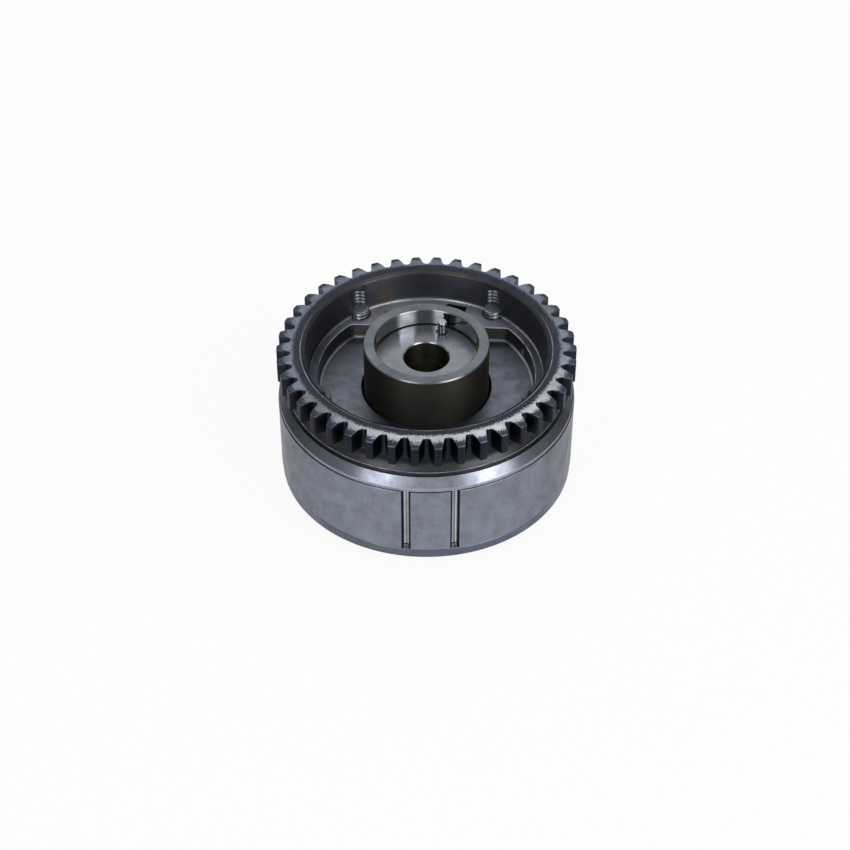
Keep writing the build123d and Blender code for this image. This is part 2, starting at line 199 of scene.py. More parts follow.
@dataclass(frozen=True)
class Surface:
    """Where a point of a piece lies, as outputs in its material's tree, in millimetres."""

    tree: Tree
    place: Socket
    x: Socket
    y: Socket
    height: Socket
    across: Socket
    radius: Socket

    @classmethod
    def read(cls, tree: Tree) -> Surface:
        """Reads the object coordinates in a tree."""
        add = partial(add_node, tree)
        metres = add("ShaderNodeTexCoord").outputs["Object"]
        place = add("ShaderNodeMapping", {"Vector": metres, "Scale": (1 / MM,) * 3}).outputs[0]
        x, y, height = add("ShaderNodeSeparateXYZ", {0: place}).outputs
        across = add("ShaderNodeCombineXYZ", {0: x, 1: y}).outputs[0]
        radius = add("ShaderNodeVectorMath", {0: across}, operation="LENGTH").outputs["Value"]
        return cls(tree, place, x, y, height, across, radius)


@dataclass(frozen=True)
class SteelFinish:
    """A steel surface: its colour, and the patches, pores and tool marks that the eye reads on it."""

    name: str
    colour: str
    tint: str
    roughness: float
    patch_mm: float = 9.0
    patch_depth: float = 0.5
    pore_mm: float = 0.35
    pore_depth: float = 0.25
    grain: Grain = Grain.PLAIN
    grain_mm: float = 0.5
    grain_depth: float = 0.1
    bump_mm: float = 0.004
    anisotropy: float = 0.0
    wear_and_glint_colour: str | None = None
    zones: tuple[Zone, ...] = ()
    stains_and_glints: tuple[StainAndGlint, ...] = ()

    def material(self) -> Material:
        """Builds the finish as a node material that reads object coordinates.

        Returns:
            The material.
        """
        made = bpy.data.materials.new(self.name)
        tree = empty_tree(made)
        at = Surface.read(tree)
        add = partial(add_node, tree)

        patch = add("ShaderNodeTexNoise", {
            "Vector": at.place, "Scale": 1 / self.patch_mm, "Detail": 5.0, "Roughness": 0.62,
        }).outputs[0]
        pore = add("ShaderNodeTexNoise", {
            "Vector": at.place, "Scale": 1 / self.pore_mm, "Detail": 2.0, "Roughness": 0.7,
        }).outputs[0]
        marks = self._tool_marks(at)

        wander = add("ShaderNodeMix", {0: RAGGED_MIX, 2: patch, 3: pore}, data_type="FLOAT").outputs[0]
        colour, roughness = self._zoned(at, wander)
        colour, roughness = self._with_wear_and_glint(tree, colour, roughness, patch)
        colour = self._stained_and_glinted(at, colour)
        for noise, levels, depth, tint in ((patch, PATCH_LEVELS, self.patch_depth, self.tint),
                                           (pore, PORE_LEVELS, self.pore_depth, PORE_COLOUR)):
            mask = add("ShaderNodeMapRange", {
                "Value": noise, "From Min": levels[0], "From Max": levels[1], "To Max": depth,
            }).outputs[0]
            colour = add("ShaderNodeMix", {MIX_FACTOR: mask, MIX_A: colour, MIX_B: linear_colour(tint)},
                         data_type="RGBA", blend_type="MULTIPLY").outputs[MIX_RESULT]
        mark_light = add("ShaderNodeMapRange", {
            "Value": marks, "From Min": MARK_LEVELS[0], "From Max": MARK_LEVELS[1],
            "To Min": 1 - self.grain_depth, "To Max": 1 + self.grain_depth,
        }).outputs[0]
        streaked = add("ShaderNodeVectorMath", {0: colour, "Scale": mark_light}, operation="SCALE").outputs[0]
        shift = add("ShaderNodeMapRange", {
            "Value": patch, "From Min": GLOSS_LEVELS[0], "From Max": GLOSS_LEVELS[1],
            "To Min": -GLOSS_SHIFT, "To Max": GLOSS_SHIFT,
        }).outputs[0]
        rough = add("ShaderNodeMath", {0: roughness, 1: shift}, operation="ADD", use_clamp=True).outputs[0]
        relief = add("ShaderNodeMath", {0: marks, 1: pore}, operation="ADD").outputs[0]
        bump = add("ShaderNodeBump", {"Height": relief, "Distance": self.bump_mm * MM, "Strength": 1.0})
        shader = add("ShaderNodeBsdfPrincipled", {
            "Base Color": streaked, "Metallic": 1.0, "Roughness": rough, "Normal": bump.outputs[0],
        })
        if self.anisotropy:
            shader.inputs["Anisotropic"].default_value = self.anisotropy
            tree.links.new(self._stretch_direction(at), shader.inputs["Tangent"])
        add("ShaderNodeOutputMaterial", {"Surface": shader.outputs[0]})
        return made

    def _tool_marks(self, at: Surface) -> Socket:
        """Draws the marks of the press or the lathe, from zero to one."""
        add = partial(add_node, at.tree)
        along = at.place
        if self.grain is Grain.DRAWN:
            along = add("ShaderNodeMapping", {"Vector": along, "Scale": (1.0, 1.0, 0.03)}).outputs[0]
        if self.grain is Grain.TURNED:
            along = add("ShaderNodeCombineXYZ", {0: at.radius, 1: at.height}).outputs[0]
        return add("ShaderNodeTexNoise", {
            "Vector": along, "Scale": 1 / self.grain_mm, "Detail": 4.0, "Roughness": 0.6,
        }).outputs[0]

    def _zoned(self, at: Surface, cloud: Socket) -> tuple[Socket, Socket]:
        """Lays the zones over the base colour and roughness.

        Args:
            at: Where the surface lies.
            cloud: A noise that makes a ragged zone's edge wander.

        Returns:
            The colour and the roughness.
        """
        add = partial(add_node, at.tree)
        colour = add("ShaderNodeRGB").outputs[0]
        colour.default_value = linear_colour(self.colour)
        roughness = add("ShaderNodeValue").outputs[0]
        roughness.default_value = self.roughness
        for zone in self.zones:
            measure = at.radius
            if zone.ragged:
                centred = add("ShaderNodeMath", {0: cloud, 1: 0.5}, operation="SUBTRACT").outputs[0]
                measure = add("ShaderNodeMath", {0: centred, 1: zone.ragged * RAGGED_REACH, 2: at.radius},
                              operation="MULTIPLY_ADD").outputs[0]
            mask = band_mask(at.tree, measure, zone.radii, zone.soft)
            factors = [band_mask(at.tree, at.height, zone.heights, zone.soft), zone.cover]
            # A zone with a side paints light or shade on the side of the piece that faces it
            if zone.side is not None:
                way = (cos(radians(zone.side)), sin(radians(zone.side)), 0.0)
                outward = add("ShaderNodeVectorMath", {0: at.across}, operation="NORMALIZE").outputs[0]
                facing = add("ShaderNodeVectorMath", {0: outward, 1: way}, operation="DOT_PRODUCT")
                factors.append(add("ShaderNodeMapRange", {
                    "Value": facing.outputs["Value"], "From Min": SIDE_LEVELS[0], "From Max": SIDE_LEVELS[1],
                }, interpolation_type="SMOOTHSTEP").outputs[0])
            for factor in factors:
                mask = add("ShaderNodeMath", {0: mask, 1: factor}, operation="MULTIPLY").outputs[0]
            colour = add("ShaderNodeMix", {
                MIX_FACTOR: mask, MIX_A: colour, MIX_B: linear_colour(zone.colour),
            }, data_type="RGBA").outputs[MIX_RESULT]
            roughness = add("ShaderNodeMix", {0: mask, 2: roughness, 3: zone.roughness},
                            data_type="FLOAT").outputs[0]
        return colour, roughness

    def _with_wear_and_glint(self, tree: Tree, colour: Socket, roughness: Socket, cloud: Socket) -> tuple[Socket, Socket]:
        """Brightens the rounded edges the mesh marks for wear and painted highlights, broken up by a slow
        noise.
        """
        if self.wear_and_glint_colour is None:
            return colour, roughness
        add = partial(add_node, tree)
        marked = add("ShaderNodeAttribute", attribute_name=WEAR_AND_GLINT).outputs["Fac"]
        broken = add("ShaderNodeMapRange", {
            "Value": cloud, "From Min": WEAR_AND_GLINT_LEVELS[0], "From Max": WEAR_AND_GLINT_LEVELS[1],
        }).outputs[0]
        mask = add("ShaderNodeMath", {0: marked, 1: broken}, operation="MULTIPLY").outputs[0]
        wear_and_glint = add("ShaderNodeMix", {MIX_FACTOR: mask, MIX_A: colour, MIX_B: linear_colour(self.wear_and_glint_colour)},
                   data_type="RGBA")
        smooth = add("ShaderNodeMix", {0: mask, 2: roughness, 3: WEAR_AND_GLINT_ROUGHNESS}, data_type="FLOAT")
        return wear_and_glint.outputs[MIX_RESULT], smooth.outputs[0]

    def _stained_and_glinted(self, at: Surface, colour: Socket) -> Socket:
        """Lays the small stains, painted glints and painted reflections over the colour and hands it back."""
        add = partial(add_node, at.tree)
        for spot in self.stains_and_glints:
            away = add("ShaderNodeVectorMath", {0: at.place, 1: spot.place}, operation="DISTANCE")
            mask = add("ShaderNodeMapRange", {
                "Value": away.outputs["Value"], "From Min": spot.size, "From Max": 0.3 * spot.size,
                "To Max": spot.cover,
            }, interpolation_type="SMOOTHSTEP").outputs[0]
            colour = add("ShaderNodeMix", {
                MIX_FACTOR: mask, MIX_A: colour, MIX_B: linear_colour(spot.colour),
            }, data_type="RGBA").outputs[MIX_RESULT]
        return colour

    @staticmethod
    def _stretch_direction(at: Surface) -> Socket:
        """Works out where turned marks stretch a reflection: across the marks, in world space."""
        add = partial(add_node, at.tree)
        reversed_y = add("ShaderNodeMath", {0: at.y, 1: -1.0}, operation="MULTIPLY").outputs[0]
        round_axis = add("ShaderNodeCombineXYZ", {0: reversed_y, 1: at.x}).outputs[0]
        in_world = add("ShaderNodeVectorTransform", {0: round_axis}, vector_type="VECTOR",
                       convert_from="OBJECT", convert_to="WORLD").outputs[0]
        normal = add("ShaderNodeNewGeometry").outputs["Normal"]
        crossed = add("ShaderNodeVectorMath", {0: in_world, 1: normal}, operation="CROSS_PRODUCT").outputs[0]
        return add("ShaderNodeVectorMath", {0: crossed}, operation="NORMALIZE").outputs[0]


@dataclass(frozen=True)
class MouldedPlastic:
    """A carbon-filled plastic: near black, satin, with short grey fibres just under the skin."""

    name: str
    colour: str
    fibre_colour: str
    roughness: float
    fibre_mm: float = 0.4
    bump_mm: float = 0.01

    def material(self) -> Material:
        """Builds the finish as a node material that reads object coordinates.

        Returns:
            The material.
        """
        made = bpy.data.materials.new(self.name)
        add = partial(add_node, empty_tree(made))
        place = add("ShaderNodeTexCoord").outputs["Object"]
        stretched = add("ShaderNodeMapping", {"Vector": place, "Scale": (1.0, 1.0, 0.2)}).outputs[0]
        fibre = add("ShaderNodeTexNoise", {
            "Vector": stretched, "Scale": 1 / (self.fibre_mm * MM), "Detail": 3.0,
        }).outputs[0]
        shown = add("ShaderNodeMapRange", {"Value": fibre, "From Min": 0.5, "From Max": 0.75}).outputs[0]
        colour = add("ShaderNodeMix", {
            MIX_FACTOR: shown, MIX_A: linear_colour(self.colour), MIX_B: linear_colour(self.fibre_colour),
        }, data_type="RGBA")
        bump = add("ShaderNodeBump", {"Height": fibre, "Distance": self.bump_mm * MM})
        shader = add("ShaderNodeBsdfPrincipled", {
            "Base Color": colour.outputs[MIX_RESULT], "Roughness": self.roughness, "Normal": bump.outputs[0],
        })
        add("ShaderNodeOutputMaterial", {"Surface": shader.outputs[0]})
        return made


# Sintered steel, steam oxidised: a blue-black skin with pores. Its top is lapped to a frosted ring, with
# painted light making it pale at the front; the cone below the teeth is ground, with painted highlights on
# its front and on the band's; and the bowl keeps the satin of the press tool.
TOOTHED_PLATE_STEEL = SteelFinish(
    name="oxidised_sintered_steel", colour="#2c2f39", tint="#9a9a9e", roughness=0.42, patch_mm=5.0,
    patch_depth=0.35, pore_mm=0.45, pore_depth=0.5, grain=Grain.TURNED, grain_mm=0.5, grain_depth=0.1,
    anisotropy=0.75, wear_and_glint_colour="#e2e6ee",
    zones=(
        # Top of the ring: the teeth's bevel, the rubbed ring, painted light on it at the front, the dark ring
        # inside
        Zone((51.2, 54.2), (55.2, 56.55), "#4a5160", 0.42, soft=0.3),
        Zone((47.9, 51.4), (56.1, 56.9), "#8b94a2", 0.45, soft=0.5, ragged=1.0),
        Zone((47.3, 51.3), (56.0, 56.9), "#dfe5ec", 0.45, cover=0.9, soft=0.4, ragged=1.2, side=290.0),
        Zone((44.9, 47.9), (56.1, 56.9), "#3c404a", 0.42, soft=0.4, ragged=0.8),
        # Chamfer at the mouth, then painted light on its far side
        Zone((43.6, 45.25), (55.4, 56.45), "#45454a", 0.35),
        Zone((43.7, 45.1), (55.5, 56.4), "#5c5856", 0.45, side=90.0),
        # Wall of the bowl
        Zone((42.3, 43.8), (45.4, 55.5), "#66676f", 0.42, soft=0.2),
        # Land, its part near the pocket, then painted light on its far side
        Zone((24.0, 42.7), (43.8, 45.4), "#4c4f58", 0.42, soft=0.2),
        Zone((34.0, 39.0), (43.8, 44.6), "#5e616b", 0.42, soft=0.2),
        Zone((24.0, 42.7), (43.8, 45.4), "#b0b4c0", 0.5, soft=0.2, side=90.0),
        # Wall of the pocket, then painted light on its far side
        Zone((24.0, 40.2), (39.2, 43.7), "#565a61", 0.4, soft=0.3),
        Zone((24.0, 40.2), (39.2, 43.7), "#948f89", 0.5, soft=0.3, side=90.0),
        # Floor of the pocket, then a painted highlight along its foot on the far side
        Zone((23.7, 40.2), (36.5, 39.5), "#6c717c", 0.38, soft=0.2),
        Zone((24.0, 40.2), (38.4, 39.5), "#a5aab6", 0.32, soft=0.2, side=90.0),
        # Painted shade in the bore and its chamfer, in the gap round the nose
        Zone((22.5, 23.7), (35.0, 38.02), "#1c1c1c", 0.5, soft=0.03),
        # Neck under the teeth, lighter low down, its top kept dark as painted shade under the teeth; groove;
        # ground cone, then a painted highlight on its front; band, then a painted highlight on its front
        Zone((48.8, 50.9), (40.6, 44.6), "#56575a", 0.45, soft=0.9),
        Zone((50.3, 51.7), (39.5, 41.0), "#6a6c72", 0.4),
        Zone((51.4, 53.9), (36.8, 40.6), "#50545f", 0.36),
        Zone((51.4, 53.9), (36.8, 40.6), "#b2b7c6", 0.36, side=272.0),
        Zone((53.3, 54.1), (35.0, 36.8), "#5a5e6a", 0.38),
        Zone((53.3, 54.1), (35.0, 36.8), "#aaaebd", 0.38, side=275.0),
    ),
    stains_and_glints=(
        # A painted glint at the foot of the pocket's wall
        StainAndGlint((35.6, 16.5, 40.1), 1.6, "#fff0b8", cover=1.0),
        StainAndGlint((-15.1, 34.9, 44.2), 0.8, "#2a2a30"),
        # Painted warm reflection of the land, on the land and on the foot of the bowl's wall at the back left
        StainAndGlint((-16.5, 36.5, 44.3), 5.0, "#8f7c5c", cover=0.4),
        StainAndGlint((-15.0, 40.5, 47.5), 5.0, "#7d6c52", cover=0.5),
    ),
)

# The threads tapped up the bowl's wall after pressing: cut metal with no oxide skin, each flank catching
# light.
CUT_THREAD_STEEL = SteelFinish(
    name="cut_thread_steel", colour="#71747e", tint="#8c8888", roughness=0.4, patch_mm=2.0, patch_depth=0.5,
    pore_mm=0.45, pore_depth=0.3, bump_mm=0.002,
)

# Sintered steel off a sizing press: satin blue-grey, drawn marks up the side, faint warm patches.
STATOR_STEEL = SteelFinish(
    name="satin_sintered_steel", colour="#696f7c", tint="#b9ab92", roughness=0.4, patch_mm=6.0,
    patch_depth=0.4, pore_mm=0.5, pore_depth=0.15, grain=Grain.DRAWN, grain_mm=0.5, grain_depth=0.06,
    bump_mm=0.003,
    zones=(
        # Painted light on the front of the drum
        Zone((53.0, 54.2), (7.0, 35.3), "#8c93a2", 0.4, side=272.0),
        # Painted reflection in the timing grooves: light floor, painted highlight, painted shade on the
        # sides; then the dark band and the painted highlight at the end of each
        Zone((52.1, 52.6), (7.0, 35.3), "#83878f", 0.35, soft=0.05),
        Zone((52.3, 52.42), (7.0, 35.3), "#d6d9e0", 0.3, soft=0.03),
        Zone((52.65, 53.75), (7.0, 35.3), "#33353c", 0.4, soft=0.08),
        Zone((52.0, 53.75), (8.3, 8.75), "#17171b", 0.5, soft=0.05),
        Zone((52.1, 52.6), (7.2, 8.1), "#d6d9e0", 0.3, soft=0.05),
    ),
)

# Steel plate, ground flat: a little darker and smoother than the ring above it.
COVER_STEEL = SteelFinish(
    name="ground_steel", colour="#6c7080", tint="#b4b0ae", roughness=0.36, patch_mm=11.0, grain=Grain.TURNED,
    grain_mm=0.5, grain_depth=0.06,
)

# Sintered steel turned on the lathe: satin face and mirror wall in the camshaft pocket, ground rim, and a
# dark oil-brown skin left on the outside of the nose.
ROTOR_STEEL = SteelFinish(
    name="machined_sintered_steel", colour="#7b7e83", tint="#b0aca4", roughness=0.38, patch_mm=8.0,
    patch_depth=0.35, pore_mm=0.4, pore_depth=0.12, grain=Grain.TURNED, grain_mm=0.35, grain_depth=0.08,
    bump_mm=0.002, anisotropy=0.75,
    zones=(
        # Outside of the nose, its rim, and a painted highlight on the rim's chamfer
        Zone((22.3, 23.2), (35.2, 57.7), "#4c4a46", 0.7),
        Zone((18.9, 22.25), (57.95, 58.5), "#6f767c", 0.34),
        Zone((22.1, 22.8), (57.75, 58.3), "#8f9396", 0.35),
        # Wall and floor of the camshaft pocket, darker olive ring round the floor, edge and wall of the oil
        # hole
        Zone((18.2, 18.95), (51.5, 57.95), "#dcdee2", 0.04),
        Zone((8.6, 18.05), (51.3, 51.7), "#83878f", 0.3),
        Zone((17.9, 18.7), (51.0, 51.45), "#5b573f", 0.4),
        Zone((8.0, 8.55), (51.05, 51.5), "#a9aaa8", 0.3),
        Zone((0.0, 8.3), (30.0, 51.05), "#48473f", 0.5),
    ),
)

# Hardened pins and the bush, centreless ground: bright and nearly plain.
GROUND_PIN_STEEL = SteelFinish(
    name="hardened_steel", colour="#9a9da3", tint="#b8b6b2", roughness=0.2, patch_mm=3.0, patch_depth=0.2,
    pore_depth=0.05, grain_mm=0.3, grain_depth=0.05, bump_mm=0.001,
)

# Drawn spring wire and rolled strip: grey, smooth, a little oily.
SPRING_STEEL = SteelFinish(
    name="spring_steel", colour="#8e9096", tint="#b0aca6", roughness=0.32, patch_mm=2.0, pore_depth=0.1,
    grain_mm=0.3,
)

# Bolts with a thin dull skin: grey-blue, the crests of the thread rubbed bright, which also paints their
# highlights.
BOLT_STEEL = SteelFinish(
    name="bolt_steel", colour="#9a9fac", tint="#a29c98", roughness=0.42, patch_mm=2.5, patch_depth=0.4,
    pore_mm=0.3, pore_depth=0.2, grain_mm=0.3, bump_mm=0.003, wear_and_glint_colour="#abafba",
    zones=(
        # Flat end of the point, then painted light on the ends of the bolts at the far side
        Zone((38.0, 46.0), (46.8, 47.1), "#50535b", 0.5, soft=0.03),
        Zone((38.0, 46.0), (46.8, 47.1), "#dfe3ee", 0.4, soft=0.03, side=90.0),
    ),
)

SEAL_PLASTIC = MouldedPlastic(name="seal_plastic", colour="#1f1d1b", fibre_colour="#3c3936", roughness=0.45)


@dataclass(frozen=True)
class Corner:
    """A corner of a section: where it is, and how far along each side its rounding starts."""

    radius: float
    height: float
    before: float = 0.0
    after: float = 0.0
    steps: int = 0
    wear_and_glint: float = 0.0


def rounded(corners: list[Corner]) -> list[SectionPoint]:
    """Rounds the corners of an open section.

    Args:
        corners: The section's corners in order. The first and the last stay sharp.

    Returns:
        Radius, height and wear-and-highlight mark of each point, the same number of points for the same
        steps.
    """
    points: list[SectionPoint] = []
    for number, corner in enumerate(corners):
        if not corner.steps:
            points.append((corner.radius, corner.height, corner.wear_and_glint))
            continue
        tangents = []
        for other, reach in ((corners[number - 1], corner.before), (corners[number + 1], corner.after)):
            away = (other.radius - corner.radius, other.height - corner.height)
            share = min(reach / max(hypot(*away), 1e-9), SHARED_SIDE if other.steps else WHOLE_SIDE)
            tangents.append((corner.radius + share * away[0], corner.height + share * away[1]))
        for step in range(corner.steps + 1):
            t = step / corner.steps
            first, middle, last = (1 - t) ** 2, 2 * t * (1 - t), t * t
            wear_and_glint = corner.wear_and_glint if 0 < step < corner.steps else 0.0
            points.append((first * tangents[0][0] + middle * corner.radius + last * tangents[1][0],
                           first * tangents[0][1] + middle * corner.height + last * tangents[1][1], wear_and_glint))
    return points


def mesh_of_columns(name: str, columns: list[Column], whole_turn: bool, centre: float = 0.0) -> Object:
    """Skins sections that stand side by side round an axis.

    Args:
        name: Name of the object.
        columns: Angle and section of each column, in turning order.
        whole_turn: Whether the last column joins the first.
        centre: How far along X the sections' own axis stands, in millimetres.

    Returns:
        An object at the origin.
    """
    rows = len(columns[0][1])
    vertices = [((centre + r * cos(angle)) * MM, r * sin(angle) * MM, z * MM)
                for angle, section in columns for r, z, _ in section]
    faces = []
    for column in range(len(columns) if whole_turn else len(columns) - 1):
        here, there = column * rows, (column + 1) % len(columns) * rows
        faces += [(here + k, here + k + 1, there + k + 1, there + k) for k in range(rows - 1)]
    mesh = bpy.data.meshes.new(name)
    mesh.from_pydata(vertices, [], faces)
    wear_and_glint_layer = mesh.attributes.new(WEAR_AND_GLINT, "FLOAT", "POINT")
    wear_and_glint_layer.data.foreach_set("value", [wear_and_glint for _, section in columns for _, _, wear_and_glint in section])
    return link_object(name, mesh)


def link_object(name: str, data: bpy.types.ID) -> Object:
    """Puts a mesh, a lamp or a camera into the scene under a name of its own."""
    made = bpy.data.objects.new(name, data)
    bpy.context.scene.collection.objects.link(made)
    return made


def applied(obj: Object) -> Object:
    """Makes an object's modifiers into plain mesh, takes them off and hands the object back."""
    bpy.context.view_layer.update()
    graph = bpy.context.evaluated_depsgraph_get()
    mesh = bpy.data.meshes.new_from_object(obj.evaluated_get(graph), preserve_all_data_layers=True,
                                           depsgraph=graph)
    obj.modifiers.clear()
    obj.data = mesh
    return obj


def welded(obj: Object) -> Object:
    """Merges vertices that lie on each other, which closes seams and poles, and turns the faces outwards."""
    shape = bmesh.new()
    shape.from_mesh(obj.data)
    bmesh.ops.remove_doubles(shape, verts=shape.verts, dist=WELD_MM * MM)
    bmesh.ops.dissolve_degenerate(shape, edges=shape.edges, dist=WELD_MM * MM / 4)
    bmesh.ops.recalc_face_normals(shape, faces=shape.faces)
    shape.to_mesh(obj.data)
    shape.free()
    return obj


def turned(name: str, section_at: Callable[[float], list[SectionPoint]], columns: int,
           centre: float) -> Object:
    """Turns a section, given for each angle in radians, round an upright axis at X = centre and welds it."""
    angles = [tau * k / columns for k in range(columns)]
    return welded(mesh_of_columns(name, [(a, section_at(a)) for a in angles], True, centre))


def smoothed(obj: Object) -> Object:
    """Shades a piece smooth between its sharp edges, its big faces kept flat by weighted normals."""
    obj.data.shade_smooth()
    obj.data.set_sharp_from_angle(angle=SHARP_ANGLE)
    modifier = obj.modifiers.new("weighted_normals", "WEIGHTED_NORMAL")
    modifier.keep_sharp = True
    return applied(obj)


def ring_array_tree() -> Tree:
    """Builds the Geometry Nodes tree that repeats a piece round the Z axis and welds the copies.

    Returns:
        The tree, with the inputs Geometry, Count, First Angle, Weld Distance and Material.
    """
    tree = bpy.data.node_groups.new("ring_array", "GeometryNodeTree")
    for name, kind in (("Geometry", "Geometry"), ("Count", "Int"), ("First Angle", "Float"),
                       ("Weld Distance", "Float"), ("Material", "Material")):
        tree.interface.new_socket(name, in_out="INPUT", socket_type=f"NodeSocket{kind}")
    tree.interface.new_socket("Geometry", in_out="OUTPUT", socket_type="NodeSocketGeometry")
    add = partial(add_node, tree)
    given = add("NodeGroupInput").outputs
    points = add("GeometryNodePoints", {"Count": given["Count"]}).outputs[0]
    step = add("ShaderNodeMath", {0: tau, 1: given["Count"]}, operation="DIVIDE").outputs[0]
    index = add("GeometryNodeInputIndex").outputs[0]
    turn = add("ShaderNodeMath", {0: index, 1: step, 2: given["First Angle"]}, operation="MULTIPLY_ADD")
    rotation = add("ShaderNodeCombineXYZ", {2: turn.outputs[0]}).outputs[0]
    placed = add("GeometryNodeInstanceOnPoints", {
        "Points": points, "Instance": given["Geometry"], "Rotation": rotation,
    }).outputs[0]
    real = add("GeometryNodeRealizeInstances", {0: placed}).outputs[0]
    whole = add("GeometryNodeMergeByDistance", {"Geometry": real, "Distance": given["Weld Distance"]})
    dressed = add("GeometryNodeSetMaterial", {"Geometry": whole.outputs[0], "Material": given["Material"]})
    add("NodeGroupOutput", {0: dressed.outputs[0]})
    return tree


@dataclass
class RingArray:
    """Repeats a piece round the turning axis with one shared Geometry Nodes tree."""

    tree: Tree = field(default_factory=ring_array_tree)

    def repeat(self, obj: Object, count: int, first_angle: float,
               material: Material | None) -> Object:
        """Turns one piece into a ring of them.

        Args:
            obj: The piece, with its middle on the X axis.
            count: How many there are in a whole turn.
            first_angle: Angle of the first one in radians.
            material: The finish, or none for a cutter.

        Returns:
            The same object with the ring as plain mesh.
        """
        modifier = obj.modifiers.new("ring_array", "NODES")
        modifier.node_group = self.tree
        values = {"Count": count, "First Angle": first_angle, "Weld Distance": WELD_MM * MM,
                  "Material": material}
        for socket in self.tree.interface.items_tree:
            if socket.in_out == "INPUT" and socket.name in values:
                modifier[socket.identifier] = values[socket.name]
        return applied(obj)


@dataclass
class CoverBolts:
    """The five flange bolts, whose threaded points stand up out of the land."""

    circle_radius: float = 41.9
    shank_radius: float = 3.0
    thread_crest: float = 3.4
    thread_root: float = 2.95
    thread_pitch: float = 1.5
    thread_start: float = 36.0
    point_top: float = 46.9
    point_radius: float = 3.05
    point_length: float = 0.4
    across_flats: float = 8.0
    hex_height: float = 2.2
    flange_radius: float = 6.2
    head_height: float = 3.2
    dimple_radius: float = 2.6
    dimple_depth: float = 0.6
    crown_slope: float = 0.5
    crown_edge: float = 0.12
    point_curve: float = 1.5
    wear_and_glint_depth: float = 0.1
    columns: int = 48
    rows_per_turn: int = 10

    def thread_radius(self, angle: float, height: float) -> float:
        """Radius of the thread at an angle round the bolt and a height, both sides of it straight."""
        turns = height / self.thread_pitch - angle / tau
        return self.thread_root + (self.thread_crest - self.thread_root) * self.flank(turns)

    @staticmethod
    def flank(turns: float) -> float:
        """Height of a thread form from root, zero, to crest, one, with narrow flats on both."""
        wave = abs(2 * (turns % 1.0) - 1)
        return min(max(1.3 * wave - 0.15, 0.0), 1.0)

    def section(self, angle: float) -> list[SectionPoint]:
        """The bolt's section at an angle round its own axis.

        Args:
            angle: The angle in radians.

        Returns:
            The section from the middle of the head up to the middle of the point.
        """
        flat = self.across_flats / 2
        from_flat = (angle + pi / 6) % (pi / 3) - pi / 6
        hexagon = flat / cos(from_flat)
        crown = self.crown_slope * (hexagon - flat) + self.crown_edge
        section = rounded([
            Corner(0.0, self.dimple_depth),
            Corner(self.dimple_radius - 0.3, self.dimple_depth, 0.3, 0.3, 2),
            Corner(self.dimple_radius, 0.0, 0.12, 0.12, 2, 1.0),
            Corner(flat - 0.25, 0.0, 0.3, 0.3, 2),
            Corner(hexagon, crown, 0.2, 0.2, 2, 1.0),
            Corner(hexagon, self.hex_height, 0.25, 0.25, 2),
            Corner(self.flange_radius - 0.4, self.hex_height, 0.3, 0.2, 2, 1.0),
            Corner(self.flange_radius, self.hex_height + 0.4, 0.2, 0.2, 2, 1.0),
            Corner(self.flange_radius, self.head_height, 0.15, 0.15, 2, 1.0),
            Corner(self.shank_radius, self.head_height),
            Corner(self.shank_radius, self.thread_start),
        ])
        rise = self.thread_pitch / self.rows_per_turn
        cone_start = self.point_top - self.point_length
        height = self.thread_start + rise
        while height < self.point_top - rise / 2:
            thread = self.thread_radius(angle, height)
            if height > cone_start:
                share = (height - cone_start) / self.point_length
                taper = (self.thread_crest - self.point_radius) * share ** self.point_curve
                thread = min(thread, self.thread_crest - taper)
            section.append((thread, height, float(thread > self.thread_crest - self.wear_and_glint_depth)))
            height += rise
        top = self.point_top
        section += [(self.point_radius - 0.05, top - 0.03, 0.0), (self.point_radius - 0.25, top, 0.0),
                    (0.0, top, 0.0)]
        return section

    def build(self, array: RingArray) -> Object:
        """Builds the five bolts as one piece of the housing."""
        bolt = turned("cover_bolts", self.section, self.columns, self.circle_radius)
        array.repeat(bolt, BOLT_COUNT, FIRST_BOLT_ANGLE, BOLT_STEEL.material())
        smoothed(bolt)
        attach(bolt, "housing")
        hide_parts(*[f"cover_bolt_{n}" for n in range(1, BOLT_COUNT + 1)])
        return bolt


